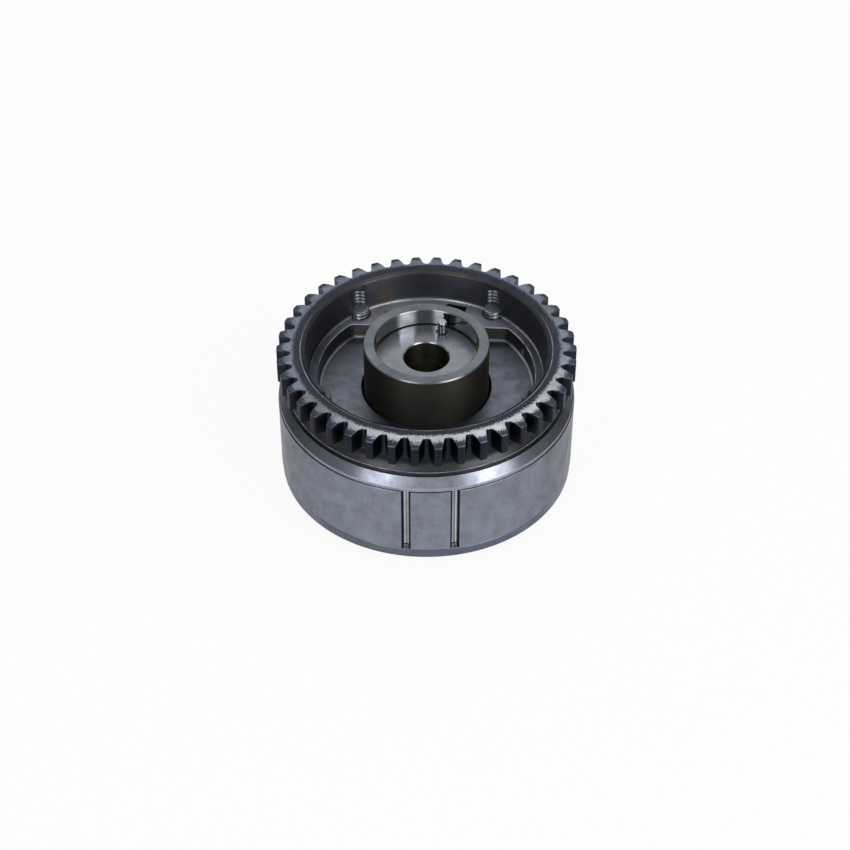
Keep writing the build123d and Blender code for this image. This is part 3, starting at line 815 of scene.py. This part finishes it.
@dataclass
class ToothedPlate:
    """The chain sprocket and rear plate in one: 42 teeth round a tapered bowl with a sunk pocket."""

    tooth_count: int = 42
    tip_radius: float = 53.796
    root_radius: float = 48.85
    gap_half_width: float = 1.05
    flank_slope: float = 0.34
    root_round: Pair = (0.95, 1.3)
    tip_round: Pair = (0.4, 0.45)
    bevel_radius: float = 51.396
    bevel_slope: float = 0.3125
    top: float = 56.4
    tooth_base: float = 47.4
    neck_top_radius: float = 49.1
    neck_straight_base: float = 44.05
    neck_base_radius: float = 50.596
    neck_base: float = 41.6
    groove_floor: float = 39.95
    shoulder_radius: float = 51.496
    shoulder_top: float = 40.5
    band_radius: float = 53.696
    band_top: float = 36.7
    underside: float = 35.2
    band_chamfer: float = 0.3
    bore_radius: float = 22.65
    bore_chamfer: float = 1.1
    pocket_floor: float = 38.05
    land: float = 44.2
    pocket_radius: float = 39.196
    chord_distance: float = 26.5
    chord_turn: float = 2.4
    boss_radius: float = 5.9
    boss_circle: float = 41.896
    boss_angles: tuple[float, ...] = (198.0, 270.0, 342.0)
    pocket_corner: float = 2.5
    pocket_foot: float = 1.1
    land_edge: float = 0.45
    bowl_foot: float = 0.8
    longest_stretch: float = 2.5
    bowl_radius: float = 42.596
    mouth_radius: float = 43.7
    mouth_chamfer: Pair = (1.5, 0.85)
    seam_radius: float = 46.0
    tap_top: float = 54.2
    tap_fade: float = 1.2
    tap_fade_power: float = 0.5
    tap_core: float = 1.4
    tap_gap: float = 0.05
    tap_columns: int = 40
    thread_margin: Pair = (0.15, 0.1)
    countersink: float = 0.5
    vent_radial: float = 4.5
    vent_tangential: float = 8.0
    vent_outer_radius: float = 40.9
    vent_right_angle: float = 68.0
    vent_depth: float = 2.5
    vent_corner: float = 0.8
    vent_hole_radius: float = 1.0
    vent_hole_past: float = 0.5
    bush_place: Pair = (37.0, 77.75)
    bush_radius: float = 5.55
    bush_top: float = 40.2
    dowel_place: Pair = (49.896, 18.0)
    dowel_hole_radius: float = 1.52
    dowel_hole_top: float = 38.0
    hole_columns: int = 48
    cut_past: float = 1.0
    # Side, in degrees, on which the bowl's rounded edges get painted highlights
    lit_angle: float = 75.0
    edge: float = 0.28

    def tooth_outline(self) -> list[tuple[float, float, float]]:
        """The outline over one pitch, from the middle of one tooth to the middle of the next.

        Returns:
            Angle, radius, and how much longer a radial step is than a step square to the outline.
        """
        half_pitch = pi / self.tooth_count
        tip_half_width = self.gap_half_width + self.flank_slope * (self.tip_radius - self.root_radius)
        tip_x = sqrt(self.tip_radius ** 2 - tip_half_width ** 2)
        bevel_y = self.gap_half_width + self.flank_slope * (self.bevel_radius - self.root_radius)
        corners = [
            Corner(self.root_radius, 0.0),
            Corner(self.root_radius, self.gap_half_width, *self.root_round, 6),
            Corner(sqrt(self.bevel_radius ** 2 - bevel_y ** 2), bevel_y),
            Corner(tip_x, tip_half_width, *self.tip_round, 3),
            Corner(self.tip_radius * cos(half_pitch), self.tip_radius * sin(half_pitch)),
        ]
        half = [(x, y) for x, y, _ in rounded(corners)]
        whole = [(x, -y) for x, y in reversed(half[1:])] + half
        outline = []
        for number, (x, y) in enumerate(whole):
            before, after = whole[max(number - 1, 0)], whole[min(number + 1, len(whole) - 1)]
            along = Vector((after[0] - before[0], after[1] - before[1])).normalized()
            square = abs(Vector((x, y)).normalized().cross(along))
            outline.append((atan2(y, x), hypot(x, y), 1 / max(square, 0.3)))
        return outline

    def rim_section(self, radius: float, stretch: float) -> list[SectionPoint]:
        """The section from the flat of the rim, over a tooth, down the outside and up the bore.

        Args:
            radius: Radius of the tooth outline at this column.
            stretch: Radial length of a step square to the outline.

        Returns:
            The section's points.
        """
        edge_height = self.top - self.bevel_slope * max(radius - self.bevel_radius, 0.0)
        crease = min(self.bevel_radius, radius - self.edge * stretch - 0.3)
        inner = self.band_radius - self.band_chamfer
        bore_top = self.pocket_floor - self.bore_chamfer
        return rounded([
            Corner(self.seam_radius, self.top),
            Corner(self.root_radius - 1.2, self.top),
            Corner(crease, self.top),
            Corner(radius, edge_height, self.edge * stretch, self.edge, 3, 0.25),
            Corner(radius, self.tooth_base, 0.2, 0.2 * stretch, 2, 0.2),
            Corner(self.neck_top_radius, self.tooth_base, 0.1, 0.2, 2),
            Corner(self.neck_top_radius, self.neck_straight_base, 0.8, 0.8, 3),
            Corner(self.neck_base_radius, self.neck_base, 0.15, 0.15, 3, 1.0),
            Corner(self.neck_base_radius, self.groove_floor, 0.2, 0.2, 2),
            Corner(self.shoulder_radius, self.groove_floor, 0.2, 0.2, 2),
            Corner(self.shoulder_radius, self.shoulder_top, 0.1, 0.15, 2, 0.5),
            Corner(self.band_radius, self.band_top, 0.25, 0.25, 3, 0.7),
            Corner(self.band_radius, self.underside + self.band_chamfer, 0.1, 0.1, 2, 0.7),
            Corner(inner, self.underside),
            Corner(self.bore_radius, self.underside, 0.2, 0.2, 2),
            Corner(self.bore_radius, bore_top, 0.1, 0.1, 2, 0.5),
            Corner(self.bore_radius + self.bore_chamfer, self.pocket_floor),
        ])

    def pocket_reach(self, angle: float) -> float:
        """Radius of the sunk pocket's wall at an angle.

        The wall is a circle, cut by the land's straight edge and by three bosses, each corner rounded.

        Args:
            angle: The angle in radians.

        Returns:
            The radius in millimetres.
        """
        corner = self.pocket_corner
        centre_radius = self.pocket_radius - corner
        upright = (angle - pi / 2 + radians(self.chord_turn) + pi) % tau - pi
        chord_y = self.chord_distance - corner
        chord_x = sqrt(centre_radius ** 2 - chord_y ** 2)
        straight_half = atan2(chord_x, self.chord_distance)
        round_middle = atan2(chord_x, chord_y)
        if abs(upright) < straight_half:
            return self.chord_distance / cos(upright)
        if abs(upright) < round_middle:
            return self._far_side(centre_radius, corner, abs(upright) - round_middle)
        reach = self.boss_radius + corner
        both_squared = self.boss_circle ** 2 + centre_radius ** 2
        cosine = (both_squared - reach ** 2) / (2 * self.boss_circle * centre_radius)
        spread = sqrt(max(1 - cosine ** 2, 0.0))
        round_x, round_y = centre_radius * cosine, centre_radius * spread
        share = self.boss_radius / reach
        touch = atan2(share * round_y, self.boss_circle + share * (round_x - self.boss_circle))
        round_middle = atan2(round_y, round_x)
        for degrees_round in self.boss_angles:
            away = abs((angle - radians(degrees_round) + pi) % tau - pi)
            if away < touch:
                sine = self.boss_circle * sin(away)
                return self.boss_circle * cos(away) - sqrt(self.boss_radius ** 2 - sine ** 2)
            if away < round_middle:
                return self._far_side(centre_radius, corner, away - round_middle)
        return self.pocket_radius

    @staticmethod
    def _far_side(centre_radius: float, circle: float, away: float) -> float:
        """Radius of the far side of a circle, seen from the axis at an angle away from its middle."""
        return centre_radius * cos(away) + sqrt(max(circle ** 2 - (centre_radius * sin(away)) ** 2, 0.0))

    def bowl_section(self, angle: float) -> list[SectionPoint]:
        """The section from the bore up through the pocket, the land and the bowl's wall to the rim.

        Args:
            angle: The angle in radians.

        Returns:
            The section's points.
        """
        wall = self.pocket_reach(angle)
        step = 1e-3
        slope = (self.pocket_reach(angle + step) - self.pocket_reach(angle - step)) / (2 * step)
        stretch = min(sqrt(1 + (slope / wall) ** 2), self.longest_stretch)
        width, drop = self.mouth_chamfer
        # Painted highlights: mouth edges at the front; pocket foot, land edge and bowl foot on the lit_angle
        # side
        front_highlight = min(max(0.5 - sin(angle), 0.0), 0.8)
        lit_side = cos(angle - radians(self.lit_angle))
        edge_highlight = max(1.2 * lit_side + 0.35, 0.0)
        foot_highlight = max(1.5 * lit_side - 0.3, 0.0)
        foot, edge = self.pocket_foot, self.land_edge
        return rounded([
            Corner(self.bore_radius + self.bore_chamfer, self.pocket_floor),
            Corner(self.bore_radius + self.bore_chamfer + 0.4, self.pocket_floor),
            Corner(wall, self.pocket_floor, foot * stretch, foot, 5, 0.5 * edge_highlight),
            Corner(wall, self.land, edge, edge * stretch, 4, edge_highlight),
            Corner(self.bowl_radius, self.land, self.bowl_foot, self.bowl_foot, 5, foot_highlight),
            Corner(self.mouth_radius, self.top - drop, 0.25, 0.25, 3, front_highlight),
            Corner(self.mouth_radius + width, self.top, 0.3, 0.3, 3, 0.7 * front_highlight),
            Corner(self.seam_radius, self.top),
        ])

    def vent_cutter(self) -> Object:
        """The block, its corners round, that sinks the lock pin's vent into the land."""
        half_span = atan2(self.vent_tangential / 2, self.vent_outer_radius)
        middle_angle = radians(self.vent_right_angle) + half_span
        middle_radius = self.vent_outer_radius - self.vent_radial / 2
        half_x, half_y = self.vent_radial / 2, self.vent_tangential / 2
        outline = []
        for sign_x, sign_y, start in ((1, 1, 0), (-1, 1, 1), (-1, -1, 2), (1, -1, 3)):
            for k in range(5):
                turn = (start + k / 4) * pi / 2
                corner_x = middle_radius + sign_x * (half_x - self.vent_corner)
                corner_y = sign_y * (half_y - self.vent_corner)
                outline.append((corner_x + self.vent_corner * cos(turn),
                                corner_y + self.vent_corner * sin(turn)))
        shape = bmesh.new()
        rings = []
        for height in (self.land - self.vent_depth, self.land + self.cut_past):
            rings.append([shape.verts.new(((x * cos(middle_angle) - y * sin(middle_angle)) * MM,
                                           (x * sin(middle_angle) + y * cos(middle_angle)) * MM, height * MM))
                          for x, y in outline])
        low, high = rings
        count = len(outline)
        for k in range(count):
            shape.faces.new((low[k], low[(k + 1) % count], high[(k + 1) % count], high[k]))
        shape.faces.new(list(reversed(low)))
        shape.faces.new(high)
        mesh = bpy.data.meshes.new("vent_cutter")
        shape.to_mesh(mesh)
        shape.free()
        return link_object("vent_cutter", mesh)

    def tap_cutter(self, bolts: CoverBolts, array: RingArray) -> Object:
        """The five holes, plain below the land and tapped up the bowl's wall.

        Args:
            bolts: The bolts, whose thread the holes take.
            array: The ring array.

        Returns:
            The cutter.
        """
        plain = bolts.thread_crest + self.tap_gap
        sunk, low = plain + self.countersink, self.underside - self.cut_past
        rise = bolts.thread_pitch / bolts.rows_per_turn

        def section(angle: float) -> list[SectionPoint]:
            """The cutter's section at an angle round the bolt."""
            points = [(0.0, low, 0.0), (plain, low, 0.0), (plain, self.land - 0.6, 0.0),
                      (sunk, self.land - 0.1, 0.0), (sunk, self.land + 0.1, 0.0)]
            height = self.land + 0.2
            while height < self.tap_top:
                fade = min((self.tap_top - height) / self.tap_fade, 1.0) ** self.tap_fade_power
                thread = bolts.thread_radius(angle, height) + self.tap_gap
                points.append((self.tap_core + (thread - self.tap_core) * fade, height, 1.0))
                height += rise
            return [*points, (0.0, self.tap_top + 0.05, 0.0)]

        cutter = turned("tap_cutter", section, self.tap_columns, bolts.circle_radius)
        return array.repeat(cutter, BOLT_COUNT, FIRST_BOLT_ANGLE, None)

    def underside_cutters(self, array: RingArray) -> list[Object]:
        """The seat of the lock pin's bush with its vent hole, and the locating dowel's hole.

        Args:
            array: The ring array, which turns each one to its place.

        Returns:
            The cutters.
        """
        low = self.underside - self.cut_past
        vent_top = self.land - self.vent_depth + self.vent_hole_past
        seat = [(0.0, low), (self.bush_radius, low), (self.bush_radius, self.bush_top),
                (self.vent_hole_radius, self.bush_top), (self.vent_hole_radius, vent_top), (0.0, vent_top)]
        hole = [(0.0, low), (self.dowel_hole_radius, low), (self.dowel_hole_radius, self.dowel_hole_top),
                (0.0, self.dowel_hole_top)]
        cutters = []
        for name, (circle, angle), outline in (("bush_seat", self.bush_place, seat),
                                               ("dowel_hole", self.dowel_place, hole)):
            section = [(r, z, 0.0) for r, z in outline]
            cutter = turned(name, lambda _: section, self.hole_columns, circle)
            cutters.append(array.repeat(cutter, 1, radians(angle), None))
        return cutters

    def dress_threads(self, plate: Object, bolts: CoverBolts) -> None:
        """Gives the second finish to the threads that stand open up the bowl's wall."""
        reach = bolts.thread_crest + 2 * self.tap_gap
        low, high = self.land + self.thread_margin[0], self.tap_top + self.thread_margin[1]
        for face in plate.data.polygons:
            x, y, z = face.center / MM
            turn = (atan2(y, x) - FIRST_BOLT_ANGLE + pi / BOLT_COUNT) % (tau / BOLT_COUNT) - pi / BOLT_COUNT
            across = hypot(x, y)
            from_axis = hypot(across * cos(turn) - bolts.circle_radius, across * sin(turn))
            face.material_index = int(from_axis < reach and low < z < high)

    def build(self, bolts: CoverBolts, array: RingArray) -> Object:
        """Builds the toothed plate and puts it in the place of its CAD node.

        Args:
            bolts: The bolts, whose thread the tapped holes take.
            array: The ring array.

        Returns:
            The toothed plate.
        """
        outline = self.tooth_outline()
        sector = mesh_of_columns("toothed_plate", [(a, self.rim_section(r, s)) for a, r, s in outline], False)
        material = TOOTHED_PLATE_STEEL.material()
        first_gap = -pi / 2
        array.repeat(sector, self.tooth_count, first_gap, material)
        pitch = tau / self.tooth_count
        angles = [first_gap + k * pitch + a for k in range(self.tooth_count) for a, _, _ in outline[:-1]]
        bowl = mesh_of_columns("bowl", [(a, self.bowl_section(a)) for a in angles], True)
        joined = bmesh.new()
        joined.from_mesh(sector.data)
        joined.from_mesh(bowl.data)
        joined.to_mesh(sector.data)
        joined.free()
        bpy.data.objects.remove(bowl)
        welded(sector)
        for cutter in (self.tap_cutter(bolts, array), self.vent_cutter(), *self.underside_cutters(array)):
            modifier = sector.modifiers.new(cutter.name, "BOOLEAN")
            modifier.operation = "DIFFERENCE"
            modifier.solver = "MANIFOLD"
            modifier.object = cutter
            applied(sector)
            bpy.data.objects.remove(cutter)
        sector.data.materials.clear()
        for finish in (material, CUT_THREAD_STEEL.material()):
            sector.data.materials.append(finish)
        self.dress_threads(sector, bolts)
        smoothed(sector)
        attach(sector, "housing")
        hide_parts("sprocket_plate")
        return sector


@dataclass
class CarriedNodes:
    """The CAD nodes that keep their shape and take a better finish."""

    frame: dict

    def dress(self) -> None:
        """Gives each carried node the finish of its kind."""
        finishes = {
            "stator_housing": STATOR_STEEL, "front_cover": COVER_STEEL, "rotor": ROTOR_STEEL,
            "lock_spring_seat": ROTOR_STEEL, "hardened": GROUND_PIN_STEEL, "spring": SPRING_STEEL,
            "seal": SEAL_PLASTIC,
        }
        made: dict[str, Material] = {}
        for name, node in self.frame["nodes"].items():
            key = self._finish_key(name)
            if key is None:
                continue
            if key not in made:
                made[key] = finishes[key].material()
            if not node.material_slots:
                node.data.materials.append(made[key])
            for slot in node.material_slots:
                slot.material = made[key]
            log.info("%s takes %s", name, made[key].name)

    @staticmethod
    def _finish_key(name: str) -> str | None:
        """Finds which finish a node takes, or none for a node that is replaced."""
        if name == "sprocket_plate" or name.startswith("cover_bolt"):
            return None
        if name in ("stator_housing", "front_cover", "rotor", "lock_spring_seat"):
            return name
        if "spring" in name:
            return "spring"
        if "seal" in name:
            return "seal"
        return "hardened"


@dataclass(frozen=True)
class Softbox:
    """A lamp with a soft cover, aimed at the object: angles in degrees, sizes and distance in metres."""

    name: str
    azimuth: float
    elevation: float
    width: float
    height: float
    brightness: float
    distance: float = 1.1

    def build(self, target: Vector) -> None:
        """Hangs the lamp so that it faces the target."""
        data = bpy.data.lights.new(self.name, "AREA")
        data.shape = "RECTANGLE"
        data.size = self.width
        data.size_y = self.height
        data.energy = self.brightness * pi * self.width * self.height
        lamp = link_object(self.name, data)
        turn, lift = radians(self.azimuth), radians(self.elevation)
        away = Vector((cos(turn) * cos(lift), sin(turn) * cos(lift), sin(lift)))
        lamp.location = target + self.distance * away
        lamp.rotation_euler = away.to_track_quat("Z", "Y").to_euler()
        lamp.visible_camera = False


@dataclass
class Studio:
    """The pale floor, the room round it, the lamps and the camera, in metres."""

    target: Vector = field(default_factory=lambda: Vector((0.0, 0.0, 0.045)))
    floor_half: float = 2.5
    glow_share: float = 0.92
    paper_reach: Pair = (0.14, 0.34)
    mirrored_white: float = 0.9
    mirrored_dark: float = 0.12
    room_heights: Pair = (0.1, 0.95)
    room_strengths: Pair = (0.15, 0.3)
    lens_mm: float = 84.62
    sensor_mm: float = 36.0
    near_clip: float = 0.01
    camera_place: tuple[float, float, float] = (-0.00052, -0.55162, 0.51194)
    camera_tilt: float = 48.19
    lamps: tuple[Softbox, ...] = (
        Softbox("back_softbox", 90.0, 46.0, 1.3, 0.8, 1.0),
        Softbox("front_card", 268.0, 12.0, 0.6, 0.35, 0.9),
        Softbox("left_softbox", 238.0, 30.0, 0.42, 1.05, 2.8),
        Softbox("right_softbox", 315.0, 30.0, 0.55, 1.05, 3.6),
    )

    def build(self) -> None:
        """Builds the whole studio."""
        self._floor()
        self._room()
        for lamp in self.lamps:
            lamp.build(self.target)
        self._camera()
        bpy.context.scene.view_settings.view_transform = "Standard"

    def _floor(self) -> None:
        """Lays the floor: white to the camera, to gloss only near the object, and with the shadow on it."""
        half = self.floor_half
        mesh = bpy.data.meshes.new("floor")
        mesh.from_pydata([(-half, -half, 0), (half, -half, 0), (half, half, 0), (-half, half, 0)], [],
                         [(0, 1, 2, 3)])
        floor = link_object("floor", mesh)
        paper = bpy.data.materials.new("white_paper_sweep")
        add = partial(add_node, empty_tree(paper))
        path = add("ShaderNodeLightPath").outputs
        camera_ray = path["Is Camera Ray"]
        through = add("ShaderNodeMath", {0: path["Is Glossy Ray"], 1: path["Is Transmission Ray"]},
                      operation="MAXIMUM").outputs[0]
        place = add("ShaderNodeTexCoord").outputs["Object"]
        away = add("ShaderNodeVectorMath", {0: place}, operation="LENGTH").outputs["Value"]
        near = add("ShaderNodeMapRange", {
            "Value": away, "From Min": self.paper_reach[0], "From Max": self.paper_reach[1],
            "To Min": self.mirrored_white, "To Max": self.mirrored_dark,
        }, interpolation_type="SMOOTHSTEP").outputs[0]
        mirrored = add("ShaderNodeMath", {0: through, 1: near}, operation="MULTIPLY").outputs[0]
        strength = add("ShaderNodeMath", {0: camera_ray, 1: mirrored}, operation="MAXIMUM").outputs[0]
        seen = add("ShaderNodeMath", {0: camera_ray, 1: through}, operation="MAXIMUM").outputs[0]
        share = add("ShaderNodeMath", {0: seen, 1: self.glow_share}, operation="MULTIPLY").outputs[0]
        cloth = add("ShaderNodeBsdfDiffuse", {"Color": linear_colour("#f4f4f4")}).outputs[0]
        glow = add("ShaderNodeEmission", {"Color": linear_colour("#ffffff"), "Strength": strength}).outputs[0]
        mixed = add("ShaderNodeMixShader", {0: share, 1: cloth, 2: glow}).outputs[0]
        add("ShaderNodeOutputMaterial", {"Surface": mixed})
        mesh.materials.append(paper)

    def _room(self) -> None:
        """Paints the room as a soft gradient, dim low down and brighter overhead."""
        world = bpy.data.worlds.new("studio_room")
        add = partial(add_node, empty_tree(world))
        direction = add("ShaderNodeTexCoord").outputs["Generated"]
        axes = add("ShaderNodeSeparateXYZ", {0: direction})
        shade = add("ShaderNodeMapRange", {
            "Value": axes.outputs[2], "From Min": self.room_heights[0], "From Max": self.room_heights[1],
            "To Min": self.room_strengths[0], "To Max": self.room_strengths[1],
        }, interpolation_type="SMOOTHSTEP").outputs[0]
        light = add("ShaderNodeBackground", {"Color": linear_colour("#fbfcff"), "Strength": shade}).outputs[0]
        add("ShaderNodeOutputWorld", {"Surface": light})
        bpy.context.scene.world = world

    def _camera(self) -> None:
        """Sets the camera where the photograph was taken from."""
        data = bpy.data.cameras.new("camera")
        data.lens = self.lens_mm
        data.sensor_width = self.sensor_mm
        data.clip_start = self.near_clip
        camera = link_object("camera", data)
        camera.location = self.camera_place
        camera.rotation_euler = (radians(self.camera_tilt), 0.0, 0.0)
        bpy.context.scene.camera = camera


def main(frame: dict) -> None:
    array = RingArray()
    bolts = CoverBolts()
    plate = ToothedPlate().build(bolts, array)
    log.info("toothed plate: %d faces", len(plate.data.polygons))
    fasteners = bolts.build(array)
    log.info("cover bolts: %d faces", len(fasteners.data.polygons))
    CarriedNodes(frame).dress()
    Studio().build()
    log.info("studio ready")


if __name__ == "__main__":
    logging.basicConfig(level=logging.INFO)
    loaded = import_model()
    main(loaded)
